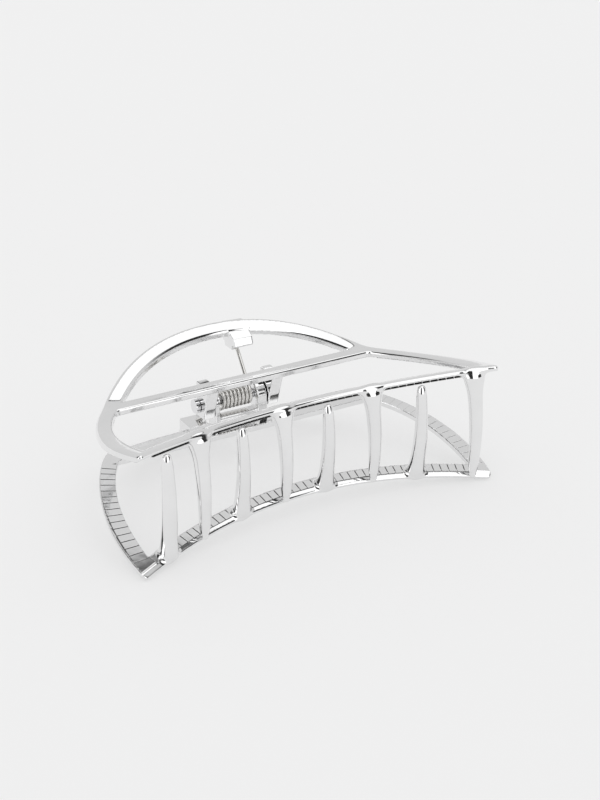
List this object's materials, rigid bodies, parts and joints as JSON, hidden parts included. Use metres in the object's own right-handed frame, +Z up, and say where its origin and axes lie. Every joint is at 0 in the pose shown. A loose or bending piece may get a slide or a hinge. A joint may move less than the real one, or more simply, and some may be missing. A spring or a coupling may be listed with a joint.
{
  "type": "hair claw clip",
  "caption": "Openwork metal hair claw clip: two half-moon jaws with interleaved curved teeth, hinged on a pin and held shut by a torsion spring.",
  "frame": {"origin": "on the surface that the clip lies on, under the middle of its bounding box", "axes": "+X along the hinge to the clip's right seen from the teeth, +Y from the teeth to the levers, +Z up"},
  "size_m": [0.1016, 0.0632, 0.0328],
  "materials": {
    "casting": "mirror-polished plating over a die casting",
    "pin": "plated, heads formed over",
    "spring_wire": "drawn wire, nickel bright"
  },
  "bodies": {
    "lower_jaw": {"lower_front_bar": "casting", "lower_left_rail": "casting", "lower_right_rail": "casting", "lower_lever_bow": "casting", "lower_crossbar": "casting", "lower_tooth_1": "casting", "lower_tooth_2": "casting", "lower_tooth_3": "casting", "lower_tooth_4": "casting", "lower_left_ear": "casting", "lower_right_ear": "casting", "lower_ear_bridge": "casting", "lower_spring_block": "casting", "hinge_pin": "pin", "torsion_spring": "spring_wire"},
    "upper_jaw": {"upper_front_bar": "casting", "upper_left_rail": "casting", "upper_right_rail": "casting", "upper_lever_bow": "casting", "upper_crossbar": "casting", "upper_tooth_1": "casting", "upper_tooth_2": "casting", "upper_tooth_3": "casting", "upper_tooth_4": "casting", "upper_left_ear": "casting", "upper_right_ear": "casting", "upper_spring_block": "casting"}
  },
  "joints": [
    {"name": "jaw_hinge", "type": "hinge", "parent": "lower_jaw", "child": "upper_jaw", "pos_m": [0, 0.01616, 0.0164], "axis": [-1, 0, 0], "range_deg": [0, 75], "stiffness_Nm_per_rad": 0.1, "springref_deg": -45.84, "deforming": ["torsion_spring"]}
  ]
}
